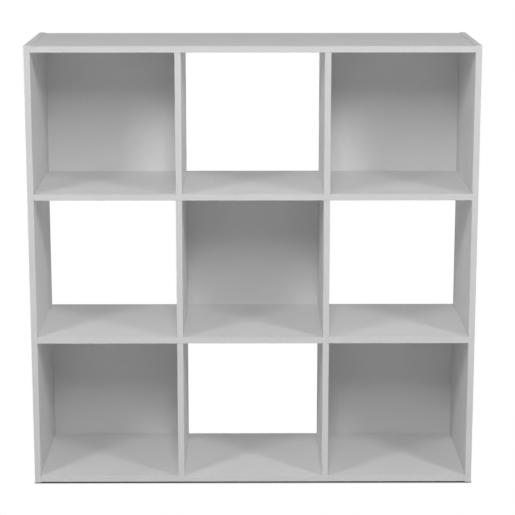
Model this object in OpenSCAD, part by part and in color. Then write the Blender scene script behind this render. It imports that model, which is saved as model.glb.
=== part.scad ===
// Open-front cube storage unit: nine cells, three rows of three, in a cam-and-dowel board frame.
// Five thin back panels close the four corner cells and the middle cell; the other four are open
// right through. Millimetres, +X right, +Y to the rear, +Z up. The origin is on the floor, at the
// middle of the whole unit's footprint.

/* [Cells] */
// Clear width of a cell
cell_w = 287; // [260:1:340]
// Clear height of a cell
cell_h = 286; // [260:1:340]

/* [Boards] */
// Thickness of every board
board_t = 12.5; // [12:0.5:16]
// Depth of every board, its front edge band included
board_depth = 290; // [240:5:400]
// How far the side panels reach past the top panel, and below the bottom panel
side_overhang = 1.5; // [1:0.5:8]
// Thickness of the edge bands
band_t = 0.8; // [0.6:0.1:1]
// Radius of the outer corners of the edge bands
band_round = 0.5; // [0.2:0.1:0.5]

/* [Back panels] */
// Thickness of a back panel
back_t = 3; // [2.5:0.5:5]
// How far a back panel laps onto the board edges around its cell
back_lap = 5.5; // [4:0.5:5.5]
// Where the two nails of each side sit, as a share of the side, from its middle
nail_spread = 0.36; // [0.2:0.02:0.42]

/* [Fittings] */
// Diameter of the wooden dowels
dowel_d = 6; // [5:0.5:7]
// Diameter of a cam disc
cam_d = 12; // [10:0.5:14]
// Distance from the end of a board to the middle of its cam discs
cam_inset = 24; // [18:1:34]
// Distance from the front and rear edges to the nearest cam fitting
cam_edge_gap = 50; // [30:1:70]

/* [Floor glides] */
// Diameter of a floor glide
glide_d = 11; // [8:0.5:12]
// Thickness of a floor glide, which lifts the side panels off the floor
glide_h = 2; // [1.5:0.5:6]
// Distance from the front and rear edges to the middle of a glide
glide_edge_gap = 32; // [15:1:60]

/* [Hidden] */
$fn = 48;
eps = 0.01;
hole_gap = 0.1; // added to a fitting's diameter to get its hole
end_gap = 0.5; // a blind hole is this much deeper than what it holds

// Nails that hold the back panels
nail_d = 1.3;
nail_length = 16;
nail_head_d = 3.2;
nail_head_t = 0.5;

// Dowels
dowel_chamfer = 0.6;
side_dowel_length = 28;
shelf_dowel_length = 38;
end_dowel_length = 25;
blind_depth = 9; // how far a fitting enters the face of a board
system_pitch = 32; // from a cam fitting to the dowel beside it
divider_dowel_gap = 62; // from the front and rear edges to a divider's dowels

// Cam discs and their bolts
cam_h = board_t - 3;
cam_sink = 0.25;
cam_pocket_d = 6.2; // holds the bolt's head
cam_pocket_past = 2.5; // how far the pocket reaches past the middle of the disc
cam_slit_d = 4.2; // lets the bolt's neck in
cam_slot = [7, 1.4, 2.4];
bolt_thread_d = 5;
bolt_shank_d = 6;
bolt_shank_length = 12;
bolt_neck_d = 3.5;
bolt_head_d = 5.6;
bolt_head_length = 4;
bolt_bore_d = 7;

// Glide nails
glide_nail_d = 2;
glide_nail_length = 14;
glide_nail_head_d = 4.5;
glide_nail_head_t = 0.8;
glide_edge = 0.5;

// Whole unit. Uprights 0 to 3 run left to right, and levels 0 to 3 run bottom to top.
unit_w = 3 * cell_w + 4 * board_t;
inner_w = unit_w - 2 * board_t;
side_h = 3 * cell_h + 4 * board_t + 2 * side_overhang;
front_y = -(board_depth + back_t + nail_head_t) / 2;
rear_y = front_y + board_depth;
core_y = front_y + band_t;
core_depth = board_depth - band_t;
cam_y = [front_y + cam_edge_gap, rear_y - cam_edge_gap];
side_dowel_y = [cam_y[0] + system_pitch, cam_y[1] - system_pitch];
divider_dowel_y = [front_y + divider_dowel_gap, rear_y - divider_dowel_gap];
glide_y = [front_y + glide_edge_gap, rear_y - glide_edge_gap];

function upright_x(i) = -unit_w / 2 + i * (cell_w + board_t);
function level_z(i) = glide_h + side_overhang + i * (cell_h + board_t);
function cell_x(column) = upright_x(column) + board_t;
function cell_z(row) = level_z(row) + board_t;

// Cells with a back panel, as [row from the bottom, column from the left]
BACKED_CELLS = [[0, 0], [0, 2], [1, 1], [2, 0], [2, 2]];

// ---- Places that several pieces share ----

// The middle of a nail in X and Z, on each of a cell's four sides
function nail_places(row, column) =
    let (
        middle = [cell_x(column) + cell_w / 2, cell_z(row) + cell_h / 2],
        reach = [cell_w / 2 + back_lap / 2, cell_h / 2 + back_lap / 2]
    )
    [for (side = [-1, 1], along = [-nail_spread, nail_spread]) each [
        middle + [side * reach[0], along * cell_h],
        middle + [along * cell_w, side * reach[1]],
    ]];

// Runs its children once for each end of each horizontal board, at the joint face,
// with +X pointing into the board and Z at the middle of its thickness
module at_board_ends(levels = [0:3]) {
    for (level = levels, side = [0, 1])
        mirror([side, 0, 0])
            translate([cell_x(0), 0, level_z(level) + board_t / 2])
                children();
}

// A cylinder along +X from x = start to x = finish
module rod_x(diameter, start, finish) {
    translate([start, 0, 0])
        rotate([0, 90, 0])
            cylinder(d = diameter, h = finish - start);
}

// A cylinder along +Z from z = start to z = finish
module rod_z(diameter, start, finish) {
    translate([0, 0, start])
        cylinder(d = diameter, h = finish - start);
}

// ---- Holes ----

module nail_holes() {
    for (cell = BACKED_CELLS, place = nail_places(cell[0], cell[1]))
        translate([place[0], rear_y + back_t + eps, place[1]])
            rotate([90, 0, 0])
                cylinder(d = nail_d + hole_gap, h = nail_length + end_gap);
}

// Holes in the end of a horizontal board: bolt bores and dowel holes
module board_end_holes(level) {
    at_board_ends([level]) {
        for (y = cam_y)
            translate([0, y, 0])
                rod_x(bolt_bore_d, -eps, cam_inset);
        for (y = side_dowel_y)
            translate([0, y, 0])
                rod_x(dowel_d + hole_gap, -eps, side_dowel_length - blind_depth + end_gap);
    }
}

// Round recesses in the underside of a horizontal board, one for each cam disc
module cam_recesses(level) {
    at_board_ends([level])
        for (y = cam_y)
            translate([cam_inset, y, -board_t / 2])
                rod_z(cam_d + 2 * hole_gap, -eps, cam_h + cam_sink + end_gap / 2);
}

// Holes for the dowels of both dividers that meet a horizontal board, from z = start to z = finish
module divider_dowel_holes(start, finish) {
    for (i = [1, 2], y = divider_dowel_y)
        translate([upright_x(i) + board_t / 2, y, 0])
            rod_z(dowel_d + hole_gap, start, finish);
}

// Holes in the inner face of the left side panel
module side_face_holes() {
    for (level = [0:3])
        translate([cell_x(0), 0, level_z(level) + board_t / 2]) {
            for (y = cam_y)
                translate([0, y, 0])
                    rod_x(bolt_thread_d + hole_gap, -blind_depth - end_gap, eps);
            for (y = side_dowel_y)
                translate([0, y, 0])
                    rod_x(dowel_d + hole_gap, -blind_depth - end_gap, eps);
        }
}

// Holes for the glide nails, in the lower end of the left side panel
module glide_nail_holes() {
    for (y = glide_y)
        translate([upright_x(0) + board_t / 2, y, 0])
            rod_z(glide_nail_d + hole_gap, 0, glide_nail_length + end_gap);
}

// ---- Boards ----

module side_panel_left() {
    color("LightGray")
        difference() {
            translate([upright_x(0), core_y, glide_h + band_t])
                cube([board_t, core_depth, side_h - 2 * band_t]);
            side_face_holes();
            glide_nail_holes();
            nail_holes();
        }
}

module side_panel_right() {
    mirror([1, 0, 0])
        side_panel_left();
}

// A board that runs between the side panels, without its divider holes
module horizontal_board(level) {
    difference() {
        translate([cell_x(0), core_y, level_z(level)])
            cube([inner_w, core_depth, board_t]);
        board_end_holes(level);
        cam_recesses(level);
        nail_holes();
    }
}

module top_panel() {
    color("LightGray")
        difference() {
            horizontal_board(3);
            divider_dowel_holes(level_z(3) - eps, level_z(3) + blind_depth + end_gap);
        }
}

module shelf(level) {
    color("LightGray")
        difference() {
            horizontal_board(level);
            divider_dowel_holes(level_z(level) - eps, level_z(level) + board_t + eps);
        }
}

module bottom_panel() {
    color("LightGray")
        difference() {
            horizontal_board(0);
            divider_dowel_holes(cell_z(0) - blind_depth - end_gap, cell_z(0) + eps);
        }
}

// How far a divider's dowels reach into its lower and upper end
function dowel_reach(level) =
    (level == 0 || level == 3)
    ? end_dowel_length - blind_depth
    : (shelf_dowel_length - board_t) / 2;

module divider(row, i) {
    color("LightGray")
        difference() {
            translate([upright_x(i), core_y, cell_z(row)])
                cube([board_t, core_depth, cell_h]);
            divider_dowel_holes(cell_z(row) - eps, cell_z(row) + dowel_reach(row) + end_gap);
            divider_dowel_holes(
                cell_z(row) + cell_h - dowel_reach(row + 1) - end_gap,
                cell_z(row) + cell_h + eps
            );
            nail_holes();
        }
}

module back_panel(row, column) {
    color("Gainsboro")
        difference() {
            translate([cell_x(column) - back_lap, rear_y, cell_z(row) - back_lap])
                cube([cell_w + 2 * back_lap, back_t, cell_h + 2 * back_lap]);
            nail_holes();
        }
}

// ---- Edge bands ----

// Section of an edge band: X across the board's edge, Y from the band's outer face to the board
module band_section() {
    translate([band_round, 0])
        square([board_t - 2 * band_round, band_t]);
    intersection() {
        square([board_t, band_t]);
        for (x = [band_round, board_t - band_round])
            translate([x, band_round]) {
                circle(r = band_round);
                translate([-band_round, 0])
                    square([2 * band_round, band_t]);
            }
    }
}

module upright_band(i, z, length) {
    color("Silver")
        translate([upright_x(i), front_y, z])
            linear_extrude(length)
                band_section();
}

module horizontal_band(level) {
    color("Silver")
        translate([cell_x(0) + inner_w, front_y, level_z(level)])
            rotate([0, -90, 0])
                linear_extrude(inner_w)
                    band_section();
}

// Bands on the upper ends (end = 1) or the lower ends (end = 0) of both side panels
module side_end_bands(end) {
    color("Silver")
        difference() {
            for (i = [0, 3])
                translate([upright_x(i), core_y, glide_h + end * side_h])
                    mirror([0, 0, end])
                        translate([0, core_depth, 0])
                            rotate([90, 0, 0])
                                linear_extrude(core_depth)
                                    band_section();
            for (side = [0, 1])
                mirror([side, 0, 0])
                    glide_nail_holes();
        }
}

// ---- Fittings ----

// A dowel along +Z, chamfered at both ends
module dowel(length) {
    color("BurlyWood") {
        cylinder(d1 = dowel_d - 2 * dowel_chamfer, d2 = dowel_d, h = dowel_chamfer);
        rod_z(dowel_d, dowel_chamfer, length - dowel_chamfer);
        translate([0, 0, length - dowel_chamfer])
            cylinder(d1 = dowel_d, d2 = dowel_d - 2 * dowel_chamfer, h = dowel_chamfer);
    }
}

module side_dowels() {
    at_board_ends()
        for (y = side_dowel_y)
            translate([-blind_depth, y, 0])
                rotate([0, 90, 0])
                    dowel(side_dowel_length);
}

// Dowels that pass through a shelf into the dividers above and below it
module shelf_dowels() {
    for (level = [1, 2], i = [1, 2], y = divider_dowel_y)
        translate([upright_x(i) + board_t / 2, y, level_z(level) - dowel_reach(level)])
            dowel(shelf_dowel_length);
}

// Dowels between the dividers and the top and bottom panels
module end_dowels() {
    for (i = [1, 2], y = divider_dowel_y)
        translate([upright_x(i) + board_t / 2, y, 0]) {
            translate([0, 0, cell_z(0) - blind_depth])
                dowel(end_dowel_length);
            translate([0, 0, level_z(3) - dowel_reach(3)])
                dowel(end_dowel_length);
        }
}

// Discs in the undersides of the horizontal boards, shown locked. The head of a bolt enters
// through the wide pocket at the side, and a turn of the disc brings the narrow slit over its
// neck. A screwdriver cross is cut into the lower face.
module cam_discs() {
    color("Silver")
        at_board_ends()
            for (y = cam_y)
                translate([cam_inset, y, 0])
                    difference() {
                        rod_z(cam_d, cam_sink - board_t / 2, cam_sink + cam_h - board_t / 2);
                        rod_x(cam_slit_d, -cam_d, 0);
                        rod_x(cam_pocket_d, -cam_pocket_past, cam_pocket_past);
                        rotate([0, 0, 90])
                            rod_x(cam_pocket_d, 0, cam_d);
                        for (turn = [45, 135])
                            translate([0, 0, cam_sink - board_t / 2])
                                rotate([0, 0, turn])
                                    cube(cam_slot, center = true);
                    }
}

// Bolts that screw into the side panels and whose heads the cam discs draw in
module cam_bolts() {
    head_start = cam_inset + cam_pocket_past - end_gap - bolt_head_length;
    color("DarkGray")
        at_board_ends()
            for (y = cam_y)
                translate([0, y, 0]) {
                    rod_x(bolt_thread_d, -blind_depth, 0);
                    rod_x(bolt_shank_d, 0, bolt_shank_length);
                    rod_x(bolt_neck_d, bolt_shank_length, head_start);
                    rod_x(bolt_head_d, head_start, head_start + bolt_head_length);
                }
}

module back_panel_nails() {
    color("DimGray")
        for (cell = BACKED_CELLS, place = nail_places(cell[0], cell[1]))
            translate([place[0], rear_y + back_t, place[1]])
                rotate([90, 0, 0]) {
                    rod_z(nail_head_d, -nail_head_t, 0);
                    rod_z(nail_d, 0, nail_length);
                }
}

// Runs its children once for each glide, at floor level in the middle of the glide
module at_glides() {
    for (side = [0, 1], y = glide_y)
        mirror([side, 0, 0])
            translate([upright_x(0) + board_t / 2, y, 0])
                children();
}

module floor_glides() {
    color("DimGray")
        at_glides()
            difference() {
                union() {
                    cylinder(d1 = glide_d - 2 * glide_edge, d2 = glide_d, h = glide_edge);
                    rod_z(glide_d, glide_edge, glide_h);
                }
                rod_z(glide_nail_head_d + hole_gap, -eps, 2 * glide_edge);
                rod_z(glide_nail_d + hole_gap, 0, glide_h + eps);
            }
}

module glide_nails() {
    color("Silver")
        at_glides() {
            rod_z(glide_nail_head_d, 2 * glide_edge - glide_nail_head_t, 2 * glide_edge);
            rod_z(glide_nail_d, 2 * glide_edge, glide_nail_length);
        }
}

side_panel_left();
side_panel_right();
top_panel();
shelf(2);  // upper_shelf
shelf(1);  // lower_shelf
bottom_panel();
divider(2, 1);  // divider_top_left
divider(2, 2);  // divider_top_right
divider(1, 1);  // divider_middle_left
divider(1, 2);  // divider_middle_right
divider(0, 1);  // divider_bottom_left
divider(0, 2);  // divider_bottom_right
back_panel(2, 0);  // back_panel_top_left
back_panel(2, 2);  // back_panel_top_right
back_panel(1, 1);  // back_panel_centre
back_panel(0, 0);  // back_panel_bottom_left
back_panel(0, 2);  // back_panel_bottom_right
upright_band(0, glide_h, side_h);  // side_band_left
upright_band(3, glide_h, side_h);  // side_band_right
horizontal_band(3);  // top_panel_band
horizontal_band(2);  // upper_shelf_band
horizontal_band(1);  // lower_shelf_band
horizontal_band(0);  // bottom_panel_band
upright_band(1, cell_z(2), cell_h);  // divider_band_top_left
upright_band(2, cell_z(2), cell_h);  // divider_band_top_right
upright_band(1, cell_z(1), cell_h);  // divider_band_middle_left
upright_band(2, cell_z(1), cell_h);  // divider_band_middle_right
upright_band(1, cell_z(0), cell_h);  // divider_band_bottom_left
upright_band(2, cell_z(0), cell_h);  // divider_band_bottom_right
side_end_bands(1);  // side_top_bands
side_end_bands(0);  // side_bottom_bands
cam_discs();
cam_bolts();
side_dowels();
shelf_dowels();
end_dowels();
back_panel_nails();
floor_glides();
glide_nails();
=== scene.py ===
"""Looks of the open-front cube storage unit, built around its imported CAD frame.

Object coordinates are the row frame's: metres, +X right, +Y to the rear, +Z up, floor at 0.
"""

import math

import bmesh
import bpy
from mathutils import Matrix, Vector

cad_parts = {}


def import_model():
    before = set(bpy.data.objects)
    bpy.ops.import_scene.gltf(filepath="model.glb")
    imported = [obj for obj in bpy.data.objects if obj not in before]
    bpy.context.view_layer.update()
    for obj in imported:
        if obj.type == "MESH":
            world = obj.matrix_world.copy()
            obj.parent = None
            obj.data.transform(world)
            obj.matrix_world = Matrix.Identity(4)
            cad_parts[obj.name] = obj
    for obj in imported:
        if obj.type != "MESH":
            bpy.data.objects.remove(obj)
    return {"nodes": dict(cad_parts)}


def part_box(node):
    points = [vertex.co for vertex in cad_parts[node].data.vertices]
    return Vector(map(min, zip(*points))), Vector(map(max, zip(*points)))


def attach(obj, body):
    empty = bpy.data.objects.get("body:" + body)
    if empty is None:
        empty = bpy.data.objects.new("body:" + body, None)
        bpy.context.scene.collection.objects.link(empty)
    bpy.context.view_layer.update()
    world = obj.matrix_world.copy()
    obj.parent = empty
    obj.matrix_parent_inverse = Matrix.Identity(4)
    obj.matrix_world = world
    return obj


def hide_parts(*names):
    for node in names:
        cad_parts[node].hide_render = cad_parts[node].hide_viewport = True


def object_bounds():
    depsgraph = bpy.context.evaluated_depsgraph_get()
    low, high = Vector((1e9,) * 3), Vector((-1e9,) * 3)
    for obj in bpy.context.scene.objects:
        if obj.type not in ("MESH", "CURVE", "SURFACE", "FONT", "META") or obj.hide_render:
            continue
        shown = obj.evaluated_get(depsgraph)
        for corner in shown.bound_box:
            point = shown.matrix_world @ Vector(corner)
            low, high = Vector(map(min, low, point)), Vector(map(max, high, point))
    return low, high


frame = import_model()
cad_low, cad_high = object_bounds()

NODES = frame["nodes"]
MM = 0.001
X, Y, Z = 0, 1, 2


def named(*starts):
    """The CAD nodes whose names begin with one of starts, in order."""
    return [NODES[n] for n in sorted(NODES) if n.startswith(starts)]


BOARD_NAMES = ("side_panel", "top_panel", "upper_shelf", "lower_shelf", "bottom_panel", "divider")
BOARDS = [o for o in named(*BOARD_NAMES) if "_band" not in o.name]
END_BANDS = named("side_top_bands", "side_bottom_bands")
FRONT_BANDS = [o for o in named("side_band", *BOARD_NAMES) if "_band" in o.name]
BACK_PANELS = [o for o in named("back_panel_") if o.name != "back_panel_nails"]

# ---- Shader building ----


class Graph:
    """A node tree, with short calls for the nodes used here."""

    def __init__(self, tree):
        self.tree = tree
        self.tree.nodes.clear()

    def add(self, kind, **settings):
        node = self.tree.nodes.new(kind)
        for key, value in settings.items():
            setattr(node, key, value)
        return node

    def join(self, source, target):
        """Sets a socket: links it if source is a socket, or else gives it the value."""
        if isinstance(source, bpy.types.NodeSocket):
            self.tree.links.new(source, target)
        else:
            target.default_value = source

    def math(self, operation, a, b=0.0):
        node = self.add("ShaderNodeMath", operation=operation)
        self.join(a, node.inputs[0])
        self.join(b, node.inputs[1])
        return node.outputs[0]

    def between(self, factor, low, high, low_at=0.0, high_at=1.0, curve="LINEAR"):
        """Maps factor from low_at..high_at to low..high, without going past them."""
        node = self.add("ShaderNodeMapRange", clamp=True, interpolation_type=curve)
        for key, value in zip(("Value", "From Min", "From Max", "To Min", "To Max"),
                              (factor, low_at, high_at, low, high)):
            self.join(value, node.inputs[key])
        return node.outputs[0]

    def part(self, vector, axis):
        """One of the three numbers of a vector socket."""
        split = self.add("ShaderNodeSeparateXYZ")
        self.join(vector, split.inputs[0])
        return split.outputs[axis]

    def camera_sees(self, seen, otherwise):
        """One shader for what the camera sees directly, and another for all other rays."""
        mix = self.add("ShaderNodeMixShader")
        self.join(self.add("ShaderNodeLightPath").outputs["Is Camera Ray"], mix.inputs["Fac"])
        self.join(otherwise, mix.inputs[1])
        self.join(seen, mix.inputs[2])
        return mix.outputs[0]


class Shader(Graph):
    """A material with one Principled shader, whose patterns lie in the row frame."""

    def __init__(self, name):
        self.material = bpy.data.materials.new(name)
        self.material.use_nodes = True
        super().__init__(self.material.node_tree)
        self.surface = self.add("ShaderNodeBsdfPrincipled")
        self.out = self.add("ShaderNodeOutputMaterial")
        self.join(self.surface.outputs["BSDF"], self.out.inputs["Surface"])
        self.place = self.add("ShaderNodeTexCoord").outputs["Object"]

    def set(self, **values):
        """Sets the Principled shader's sockets; Base_Color stands for Base Color."""
        for key, value in values.items():
            self.join(value, self.surface.inputs[key.replace("_", " ")])

    def scaled(self, size, stretch):
        """The place, in units of size metres, longer along the axes where stretch is over 1."""
        node = self.add("ShaderNodeMapping")
        self.join(self.place, node.inputs["Vector"])
        node.inputs["Scale"].default_value = [1 / (size * s) for s in stretch]
        return node.outputs[0]

    def noise(self, size, detail=2.0, stretch=(1, 1, 1), roughness=0.5):
        """Noise about 0.5, with features about size metres across."""
        node = self.add("ShaderNodeTexNoise")
        self.join(self.scaled(size, stretch), node.inputs["Vector"])
        node.inputs["Scale"].default_value = 1.0
        node.inputs["Detail"].default_value = detail
        node.inputs["Roughness"].default_value = roughness
        return node.outputs["Fac"]

    def vary(self, noise, low, high):
        """Maps a noise, nearly all of which lies from 0.3 to 0.7, to low..high."""
        return self.between(noise, low, high, 0.3, 0.7)

    def flakes(self, size, stretch):
        """A random value for each cell of a cell pattern, with cells about size metres across."""
        node = self.add("ShaderNodeTexVoronoi", feature="F1")
        self.join(self.scaled(size, stretch), node.inputs["Vector"])
        node.inputs["Scale"].default_value = 1.0
        split = self.add("ShaderNodeSeparateColor")
        self.join(node.outputs["Color"], split.inputs[0])
        return split.outputs[0]

    def mix(self, factor, a, b):
        """Colour a at factor 0, colour b at factor 1."""
        node = self.add("ShaderNodeMix", data_type="RGBA")
        colours = [s for s in node.inputs if s.type == "RGBA"]
        self.join(factor, node.inputs["Factor"])
        self.join(a, colours[0])
        self.join(b, colours[1])
        return next(s for s in node.outputs if s.type == "RGBA")

    def shade(self, colour, factor):
        """The colour, a tuple or a socket, times a factor from a socket."""
        node = self.add("ShaderNodeVectorMath", operation="SCALE")
        self.join(colour[:3] if isinstance(colour, tuple) else colour, node.inputs[0])
        self.join(factor, node.inputs["Scale"])
        return node.outputs[0]

    def bump(self, height, depth, normal=None):
        """A bump whose height input of 1 stands depth metres high."""
        node = self.add("ShaderNodeBump")
        node.inputs["Strength"].default_value = 1.0
        node.inputs["Distance"].default_value = depth
        self.join(height, node.inputs["Height"])
        if normal is not None:
            self.join(normal, node.inputs["Normal"])
        return node.outputs[0]


def grey(value):
    return (value, value, value, 1.0)


# ---- Materials ----

FOIL_GREY = 0.76
# Painted shade: the edge bands on the boards' fronts are a darker grey than the same band on the side
# panels' ends, to dim the faces turned to the lights.
FRONT_BAND_PAINTED_SHADE_GREY = 0.65
PLASTIC_SPECULAR = 0.35


def printed_grey(shader, value):
    """A printed grey: cloudy over a few centimetres, and finely mottled like paper."""
    clouds = shader.vary(shader.noise(90 * MM, detail=3), 0.985, 1.015)
    mottle = shader.vary(shader.noise(2.2 * MM, detail=2), 0.975, 1.025)
    return shader.shade(grey(value), shader.math("MULTIPLY", clouds, mottle))


def foil_material(name, value):
    """Grey foil with a fine emboss, over the slight waviness of the board below it."""
    s = Shader(name)
    waves = s.bump(s.noise(28 * MM, detail=2), 0.03 * MM)
    emboss = s.bump(s.noise(0.9 * MM, detail=1), 0.018 * MM, waves)
    s.set(Base_Color=printed_grey(s, value), Normal=emboss)
    s.set(Roughness=s.vary(s.noise(14 * MM), 0.50, 0.62))
    s.surface.inputs["Specular IOR Level"].default_value = PLASTIC_SPECULAR
    return s.material


def chip_material():
    """Raw particleboard: wood flakes from straw to brown, with dark open pores."""
    s = Shader("raw_particleboard")
    flake = s.flakes(1.5 * MM, stretch=(2.4, 1.0, 1.0))
    fine = s.noise(0.8 * MM, detail=4, roughness=0.7)
    colour = s.mix(flake, (0.50, 0.33, 0.17, 1), (0.74, 0.58, 0.37, 1))
    pores = s.between(fine, 1, 0, 0.34, 0.5)
    s.set(Base_Color=s.mix(pores, colour, (0.27, 0.16, 0.08, 1)), Roughness=0.9)
    s.set(Normal=s.bump(s.math("ADD", flake, fine), 0.12 * MM))
    return s.material


def band_material(name, value):
    """Plastic edge band: a smooth, faintly mottled grey."""
    s = Shader(name)
    s.set(Base_Color=printed_grey(s, value), Normal=s.bump(s.noise(0.8 * MM, detail=1), 0.012 * MM))
    s.set(Roughness=s.vary(s.noise(5 * MM), 0.42, 0.54))
    s.surface.inputs["Specular IOR Level"].default_value = PLASTIC_SPECULAR
    return s.material


def fibre_material():
    """The bare rear and edges of a hardboard sheet: brown pressed fibre."""
    s = Shader("bare_hardboard")
    fibre = s.noise(1.6 * MM, detail=5, roughness=0.75)
    blotch = s.vary(s.noise(45 * MM, detail=3), 0.9, 1.1)
    brown = s.mix(s.vary(fibre, 0, 1), (0.19, 0.105, 0.052, 1), (0.36, 0.225, 0.125, 1))
    s.set(Base_Color=s.shade(brown, blotch), Roughness=0.72, Normal=s.bump(fibre, 0.03 * MM))
    return s.material


def wood_material():
    """Bare beech, with its grain along the dowels, which lie along X or stand along Z."""
    s = Shader("beech")
    grain = s.noise(0.7 * MM, detail=3, stretch=(6, 1, 6))
    s.set(Base_Color=s.mix(grain, (0.52, 0.33, 0.17, 1), (0.72, 0.51, 0.30, 1)))
    s.set(Roughness=0.7, Normal=s.bump(grain, 0.05 * MM))
    return s.material


def metal_material(name, low, high, roughness):
    """A cloudy metal, from the grey low to the grey high, duller where it is lighter."""
    s = Shader(name)
    cloud = s.noise(1.5 * MM, detail=4)
    s.set(Base_Color=s.mix(cloud, grey(low), grey(high)), Metallic=1.0)
    s.set(Roughness=s.vary(cloud, roughness - 0.08, roughness + 0.08))
    s.set(Normal=s.bump(cloud, 0.01 * MM))
    return s.material


def glide_material():
    """Black plastic with a fine grain."""
    s = Shader("glide_plastic")
    pits = s.noise(0.5 * MM, detail=2)
    s.set(Base_Color=s.mix(pits, grey(0.035), grey(0.055)))
    s.set(Roughness=s.vary(pits, 0.5, 0.65), Normal=s.bump(pits, 0.01 * MM))
    return s.material


# ---- Mesh building ----

EASED_ANGLE = math.radians(40)  # edges that turn more than this are rounded
CREASE_ANGLE = math.radians(50)  # edges that turn more than this still look sharp
FLAT_ANGLE = math.radians(0.5)  # faces that turn less than this are one flat face
SAME_POINT = 0.002 * MM


def show(mesh, node, slot, *materials):
    """Makes a piece of mesh, which is shown in place of its CAD node."""
    for face in mesh.faces:
        face.smooth = True
    for edge in mesh.edges:
        edge.smooth = edge.calc_face_angle() < CREASE_ANGLE
    data = bpy.data.meshes.new(node.name + ".finished")
    mesh.to_mesh(data)
    mesh.free()
    for material in materials:
        data.materials.append(material)
    piece = bpy.data.objects.new(data.name, data)
    bpy.context.scene.collection.objects.link(piece)
    piece.modifiers.new("flat_faces", "WEIGHTED_NORMAL").keep_sharp = True
    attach(piece, "root")
    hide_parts(node.name)


def whole_mesh(node):
    """A CAD node's mesh with its faces joined up."""
    mesh = bmesh.new()
    mesh.from_mesh(node.data)
    bmesh.ops.remove_doubles(mesh, verts=mesh.verts, dist=SAME_POINT)
    return mesh


def eased(node, width):
    """A CAD node's mesh with each flat face in one piece and its sharp edges rounded."""
    mesh = whole_mesh(node)
    bmesh.ops.dissolve_limit(mesh, angle_limit=FLAT_ANGLE, verts=mesh.verts, edges=mesh.edges)
    bmesh.ops.bevel(
        mesh,
        geom=[e for e in mesh.edges if e.calc_face_angle() > EASED_ANGLE],
        offset=width,
        offset_type="OFFSET",
        segments=2,
        profile=0.5,
        affect="EDGES",
        clamp_overlap=False,
    )
    mesh.normal_update()
    return mesh


def solids(node):
    """The lowest and highest corner of each separate solid in a CAD node."""
    mesh = whole_mesh(node)
    left = set(mesh.verts)
    boxes = []
    while left:
        group = [left.pop()]
        for vert in group:  # the group grows while it is walked
            near = {edge.other_vert(vert) for edge in vert.link_edges} & left
            left -= near
            group.extend(near)
        boxes.append([[pick(v.co[axis] for v in group) for axis in (X, Y, Z)] for pick in (min, max)])
    mesh.free()
    return [(Vector(low), Vector(high)) for low, high in sorted(boxes)]


def turn(mesh, start, along, rings, around, groove=None):
    """Adds a closed turned solid, whose rings are (distance along its axis, radius) from start.

    groove(angle, distance) is how much less than its ring's radius a point lies from the axis.
    Returns the face at the far end.
    """
    side = along.orthogonal().normalized()
    other = along.cross(side)
    loops = []
    for distance, radius in rings:
        loop = []
        for step in range(around):
            angle = math.tau * step / around
            reach = radius - (groove(angle, distance) if groove else 0)
            outward = side * math.cos(angle) + other * math.sin(angle)
            loop.append(mesh.verts.new(start + along * distance + outward * reach))
        loops.append(loop)
    for near, far in zip(loops, loops[1:]):
        for step in range(around):
            after = (step + 1) % around
            mesh.faces.new((near[step], near[after], far[after], far[step]))
    mesh.faces.new(loops[0][::-1])
    return mesh.faces.new(loops[-1])


CROSS_TAPER = 0.55  # the size of a cross's bed, as a share of its rim's


def sink_cross(mesh, face, along, reach, width, depth):
    """Cuts a tapered screwdriver cross into a round face that looks along.

    Each arm ends at reach from the middle, and is width to each side of its own middle.
    """
    middle = face.calc_center_median()
    side = along.orthogonal().normalized()
    other = along.cross(side)
    corners = []
    for quarter in range(4):
        ahead, left = (side, other, -side, -other)[quarter], (other, -side, -other, side)[quarter]
        corners += [ahead * reach - left * width, ahead * reach + left * width, (ahead + left) * width]
    rim = [mesh.verts.new(middle + c) for c in corners]
    bed = [mesh.verts.new(middle + c * CROSS_TAPER - along * depth) for c in corners]
    edges = list(face.edges)
    mesh.faces.remove(face)
    for step in range(len(rim)):
        after = (step + 1) % len(rim)
        edges.append(mesh.edges.new((rim[step], rim[after])))
        mesh.faces.new((rim[step], rim[after], bed[after], bed[step]))
    mesh.faces.new(bed)
    bmesh.ops.triangle_fill(mesh, edges=edges, normal=along, use_beauty=True)


# ---- Boards, panels and bands ----

# How far in from their edges the pieces are rounded.
BOARD_EASE = 0.3 * MM
BACK_PANEL_EASE = 0.15 * MM
BAND_EASE = 0.1 * MM
DISC_EASE = 0.15 * MM
GLIDE_EASE = 0.2 * MM

FOIL_REACH = 0.3  # foil covers a rounded edge where its normal is over this far across the board


def board_pieces(foil, chips):
    """Foil on both faces of each board, and raw particleboard on its edges and in its holes."""
    for node in BOARDS:
        low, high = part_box(node.name)
        across = min((X, Y, Z), key=lambda axis: high[axis] - low[axis])
        mesh = eased(node, BOARD_EASE)
        for face in mesh.faces:
            place = face.calc_center_median()[across]
            outer = min(place - low[across], high[across] - place) < BOARD_EASE
            foiled = outer and abs(face.normal[across]) > FOIL_REACH
            face.material_index = 0 if foiled else 1
        show(mesh, node, "board", foil, chips)


def back_pieces(foil, fibre):
    """Printed foil towards the cells, and bare fibre behind and on the edges."""
    for node in BACK_PANELS:
        mesh = eased(node, BACK_PANEL_EASE)
        for face in mesh.faces:
            towards_cells = face.normal.y < -0.9
            face.material_index = 0 if towards_cells else 1
        show(mesh, node, "back_board", foil, fibre)


def eased_pieces(nodes, width, slot, material):
    """Copies of CAD nodes with their sharp edges rounded."""
    for node in nodes:
        show(eased(node, width), node, slot, material)


# ---- Fittings ----

AROUND = 24  # points round a bolt or nail

DOWEL_FLUTES = 14
FLUTE_DEPTH = 0.25 * MM
DOWEL_CHAMFER = 0.6 * MM

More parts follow.
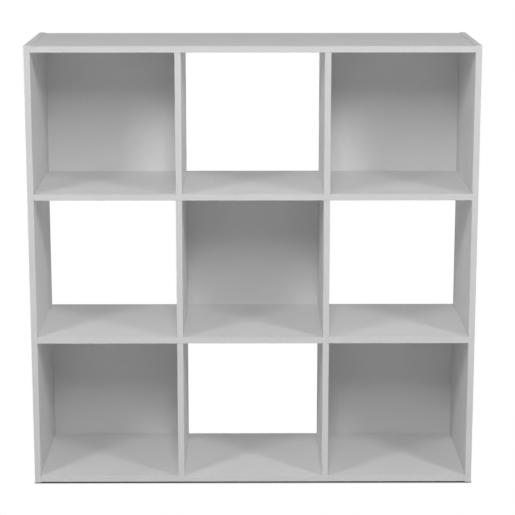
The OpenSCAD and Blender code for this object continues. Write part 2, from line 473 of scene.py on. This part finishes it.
THREAD_LENGTH = 9 * MM
THREAD_PITCH = 2.0 * MM
THREAD_DEPTH = 0.75 * MM
THREAD_RADIUS = 2.5 * MM
THREAD_RINGS = 48
FLANK_SHARE = 0.6  # the length of a thread's flank, as a share of half the pitch
TIP_RINGS = 5  # the thread's first rings, which narrow towards the tip
TIP_TAPER = 1.0 * MM
SHANK_LENGTH = 12 * MM
NECK_RADIUS = 1.75 * MM
BOLT_HEAD_LENGTH = 4 * MM
BOLT_HEAD_RADIUS = 2.8 * MM
BOLT_EDGE = 0.3 * MM

NAIL_TIP = 0.1 * MM


def chamfered(start, end, radius, width):
    """The rings of a cylinder from start to end, with both its edges chamfered by width."""
    return [(start, radius - width), (start + width, radius), (end - width, radius), (end, radius - width)]


def dowel_pieces(nodes, material):
    """Fluted dowels, each along the longest side of its CAD solid."""
    for node in nodes:
        mesh = bmesh.new()
        for low, high in solids(node):
            size = high - low
            along = Vector(size[axis] == max(size) for axis in (X, Y, Z))
            length, radius = max(size), min(size) / 2
            start = (low + high - along * length) / 2
            rings = chamfered(0, length, radius, DOWEL_CHAMFER)

            def flute(angle, distance):
                full = DOWEL_CHAMFER <= distance <= length - DOWEL_CHAMFER
                return FLUTE_DEPTH * max(0, math.cos(DOWEL_FLUTES * angle)) if full else 0

            turn(mesh, start, along, rings, 6 * DOWEL_FLUTES, flute)
        show(mesh, node, "dowel_wood", material)


def thread(angle, distance):
    """How far the helical thread of a bolt falls short of its crest."""
    if distance > THREAD_LENGTH:
        return 0
    turns = distance / THREAD_PITCH - angle / math.tau
    off_crest = abs(turns % 1 - 0.5) * 2
    return THREAD_DEPTH * min(1, off_crest / FLANK_SHARE)


def bolt_rings(length, shank):
    """A bolt's rings from its tip: a tapered thread, a plain shank, a thin neck and a head."""
    shank_end = THREAD_LENGTH + SHANK_LENGTH
    head_start = length - BOLT_HEAD_LENGTH
    threaded = []
    for step in range(THREAD_RINGS + 1):
        taper = TIP_TAPER * max(0, 1 - step / TIP_RINGS)
        threaded.append((THREAD_LENGTH * step / THREAD_RINGS, THREAD_RADIUS - taper))
    plain = chamfered(THREAD_LENGTH, shank_end, shank, BOLT_EDGE)
    neck = [(shank_end, NECK_RADIUS), (head_start, NECK_RADIUS)]
    head = chamfered(head_start, length, BOLT_HEAD_RADIUS, BOLT_EDGE)
    return threaded + plain + neck + head


def bolt_piece(node, material):
    """Bolts whose threads are in the side panel, with a crossed head at the other end."""
    mesh = bmesh.new()
    for low, high in solids(node):
        along = Vector((-1 if low.x > 0 else 1, 0, 0))
        length, shank = high.x - low.x, (high.z - low.z) / 2
        start = (low + high - along * length) / 2
        end = turn(mesh, start, along, bolt_rings(length, shank), AROUND, thread)
        sink_cross(mesh, end, along, reach=1.7 * MM, width=0.42 * MM, depth=1.6 * MM)
    bmesh.ops.recalc_face_normals(mesh, faces=mesh.faces)
    show(mesh, node, "plated_steel", material)


def nail_piece(node, slot, towards_head, shank, head_length, material):
    """Nails with a pointed end and a slightly domed head at the towards_head end of each solid.

    shank is the radius of their shanks, and head_length is how thick their heads are.
    """
    mesh = bmesh.new()
    for low, high in solids(node):
        size = high - low
        length, head = max(size), min(size) / 2
        start = (low + high - towards_head * length) / 2
        head_start = length - head_length
        point = [(0, NAIL_TIP), (2 * shank, 0.85 * shank), (3 * shank, shank)]
        under_head = [(head_start, shank), (head_start, 0.92 * head)]
        rim = [(head_start + 0.2 * head_length, head), (head_start + 0.6 * head_length, head)]
        dome = [(length - 0.1 * head_length, 0.85 * head), (length, 0.5 * head)]
        turn(mesh, start, towards_head, point + under_head + rim + dome, AROUND)
    show(mesh, node, slot, material)


# ---- Stage, lights and camera ----

MIDDLE = (cad_low + cad_high) / 2

BEHIND, BEHIND_ABOVE = 0.85, 0.13  # the room's light from low and high behind the unit
IN_FRONT, IN_FRONT_ABOVE = 0.03, 0.31  # and from low and high in front of it
LOW, HIGH = 0.25, 0.45  # upward parts of a direction, between which low blends to high
SIDEWAYS = 0.05  # rearward part of a direction, either way of 0, where front blends to rear

FLOOR_HALF = 6.0
FLOOR_GREY = 0.85
# Painted shade: the floor is this darker grey under the unit, fading out to white between UNDER_END and
# CLEAR_START from its sides.
PAINTED_SHADE_GREY = 0.35
UNDER_END, CLEAR_START = -2 * MM, 4 * MM  # from the unit's sides outward, where the floor turns white

LENS = 126.2  # millimetres
CAMERA_OFFSET = Vector((-0.009, -3.735, 0.806))  # from the unit's middle
CAMERA_DOWN = math.radians(12.26)
CAMERA_TURN = math.radians(-0.29)


def world():
    """A white room whose rear wall is the brightest. The camera sees it as plain white."""
    scene_world = bpy.data.worlds.new("room")
    scene_world.use_nodes = True
    g = Graph(scene_world.node_tree)
    direction = g.add("ShaderNodeTexCoord").outputs["Generated"]
    upward = g.part(direction, Z)
    rear = g.between(upward, BEHIND, BEHIND_ABOVE, LOW, HIGH, "SMOOTHSTEP")
    front = g.between(upward, IN_FRONT, IN_FRONT_ABOVE, LOW, HIGH, "SMOOTHSTEP")
    strength = g.between(g.part(direction, Y), front, rear, -SIDEWAYS, SIDEWAYS, "SMOOTHSTEP")
    light = g.add("ShaderNodeBackground")
    g.join(strength, light.inputs["Strength"])
    light.inputs["Color"].default_value = grey(1.0)
    seen = g.add("ShaderNodeBackground")
    seen.inputs["Color"].default_value = grey(1.0)
    out = g.add("ShaderNodeOutputWorld")
    g.join(g.camera_sees(seen.outputs[0], light.outputs[0]), out.inputs["Surface"])
    bpy.context.scene.world = scene_world


def floor():
    """A white floor with painted shade: darker only under the unit and in a narrow line round it."""
    mesh = bpy.data.meshes.new("floor")
    corners = [(x * FLOOR_HALF, y * FLOOR_HALF, 0) for x, y in ((-1, -1), (1, -1), (1, 1), (-1, 1))]
    mesh.from_pydata(corners, [], [(0, 1, 2, 3)])
    obj = bpy.data.objects.new("floor", mesh)
    bpy.context.scene.collection.objects.link(obj)
    s = Shader("floor")
    outside = [
        s.math("SUBTRACT", s.math("ABSOLUTE", s.part(s.place, axis)), cad_high[axis]) for axis in (X, Y)
    ]
    clear = s.between(s.math("MAXIMUM", *outside), 0.0, 1.0, UNDER_END, CLEAR_START)
    # Painted shade under the unit and in a narrow line round it; the floor is white elsewhere.
    s.set(Base_Color=s.mix(clear, grey(PAINTED_SHADE_GREY), grey(FLOOR_GREY)), Roughness=0.9)
    s.surface.inputs["Specular IOR Level"].default_value = 0.0
    white = s.add("ShaderNodeEmission")
    seen = s.add("ShaderNodeMixShader")
    s.join(clear, seen.inputs["Fac"])
    s.join(s.surface.outputs["BSDF"], seen.inputs[1])
    s.join(white.outputs[0], seen.inputs[2])
    s.join(s.camera_sees(seen.outputs[0], s.surface.outputs["BSDF"]), s.out.inputs["Surface"])
    mesh.materials.append(s.material)


def soft_light(name, offset, size, power):
    """A soft box of size metres and power watts, at offset from the unit's middle and turned to it."""
    data = bpy.data.lights.new(name, "AREA")
    data.shape = "RECTANGLE"
    data.size, data.size_y = size
    data.energy = power
    obj = bpy.data.objects.new(name, data)
    bpy.context.scene.collection.objects.link(obj)
    obj.location = MIDDLE + Vector(offset)
    obj.rotation_euler = (-Vector(offset)).to_track_quat("-Z", "Y").to_euler()


def lights():
    """A tall soft box high in front, and one to each side that draws the cells' shadows."""
    soft_light("front_high", (0, -2.9, 2.1), (0.6, 1.3), 41)
    soft_light("side_left", (-1.58, -1.8, 1.42), (0.4, 0.5), 15.5)
    soft_light("side_right", (1.68, -1.78, 1.44), (0.4, 0.5), 16.5)


def camera():
    """A camera in front of the unit and above it, tilted down to it."""
    data = bpy.data.cameras.new("camera")
    data.lens = LENS
    obj = bpy.data.objects.new("camera", data)
    bpy.context.scene.collection.objects.link(obj)
    obj.location = MIDDLE + CAMERA_OFFSET
    obj.rotation_euler = (math.radians(90) - CAMERA_DOWN, 0.0, CAMERA_TURN)
    bpy.context.scene.camera = obj


# ---- Putting it together ----

board_pieces(foil_material("board_foil", FOIL_GREY), chip_material())
back_pieces(foil_material("back_foil", FOIL_GREY), fibre_material())
# The front bands' darker grey is painted shade; the end bands, of the same plastic, keep the foil's grey.
eased_pieces(FRONT_BANDS, BAND_EASE, "edge_band", band_material("front_band_painted_shade", FRONT_BAND_PAINTED_SHADE_GREY))
eased_pieces(END_BANDS, BAND_EASE, "edge_band", band_material("end_band", FOIL_GREY))
dowel_pieces(named("side_dowels", "shelf_dowels", "end_dowels"), wood_material())
cast_zinc = metal_material("cast_zinc", 0.42, 0.60, roughness=0.45)
eased_pieces(named("cam_discs"), DISC_EASE, "cam_metal", cast_zinc)
eased_pieces(named("floor_glides"), GLIDE_EASE, "glide_plastic", glide_material())
plated = metal_material("plated_steel", 0.55, 0.70, roughness=0.30)
nail_steel = metal_material("nail_steel", 0.30, 0.45, roughness=0.38)
bolt_piece(NODES["cam_bolts"], plated)
nail_piece(
    NODES["glide_nails"],
    "plated_steel",
    towards_head=Vector((0, 0, -1)),
    shank=1.0 * MM,
    head_length=0.8 * MM,
    material=plated,
)
nail_piece(
    NODES["back_panel_nails"],
    "nail_steel",
    towards_head=Vector((0, 1, 0)),
    shank=0.65 * MM,
    head_length=0.5 * MM,
    material=nail_steel,
)

world()
floor()
lights()
camera()

bpy.context.scene.view_settings.view_transform = "Standard"
